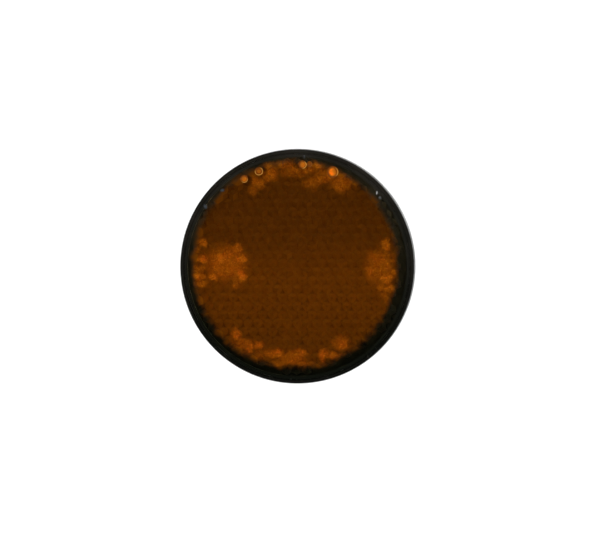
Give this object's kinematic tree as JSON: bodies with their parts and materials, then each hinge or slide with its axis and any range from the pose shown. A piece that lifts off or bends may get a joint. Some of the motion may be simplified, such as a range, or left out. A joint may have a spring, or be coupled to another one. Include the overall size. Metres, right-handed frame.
{
  "type": "raised pavement marker",
  "caption": "Low round pavement marker: black rimmed housing, amber cube-corner reflector facing out, pad underneath and a threaded stud with washers and nut.",
  "frame": {"origin": "on the marker's axis at the mounting plane, which is the underside of the base pad", "axes": "+Z out of the pavement through the reflector, the stud points along -Z; X and Y run across the face, with the prism rows along X"},
  "size_m": [0.06, 0.06, 0.0455],
  "materials": {
    "housing_plastic": "moulded black, semi-gloss",
    "amber_acrylic": "clear amber moulded acrylic",
    "bond_adhesive": "cured translucent adhesive",
    "seal_adhesive": "black elastic adhesive",
    "zinc_steel": "bright zinc-plated",
    "potting_resin": "cast filled resin",
    "butyl": "matt butyl pad",
    "seal_rubber": "smooth rubber"
  },
  "bodies": {
    "marker": {"housing": "housing_plastic", "reflector_lens": "amber_acrylic", "lens_bond_ring": "seal_adhesive", "bond_patch_top": "bond_adhesive", "bond_patch_bottom": "bond_adhesive", "bond_patch_left": "bond_adhesive", "bond_patch_right": "bond_adhesive", "anchor_bolt": "zinc_steel", "potting_fill": "potting_resin", "base_pad": "butyl", "stud_o_ring": "seal_rubber"},
    "washers": {"flat_washer": "zinc_steel", "spring_washer": "zinc_steel"},
    "nut": {"hex_nut": "zinc_steel"}
  },
  "joints": [
    {"name": "washer_slide", "type": "slide", "parent": "marker", "child": "washers", "axis": [0, 0, 1], "range_m": [-0.01376, 0.00626]},
    {"name": "nut_turn", "type": "hinge", "parent": "washers", "child": "nut", "pos_m": [0, 0, -0.013], "axis": [0, 0, 1], "range_deg": [-3960, 1800]}
  ],
  "couplings": [
    {"joint": "washer_slide", "follows": "nut_turn", "m_per_rad": 0.00019894}
  ]
}
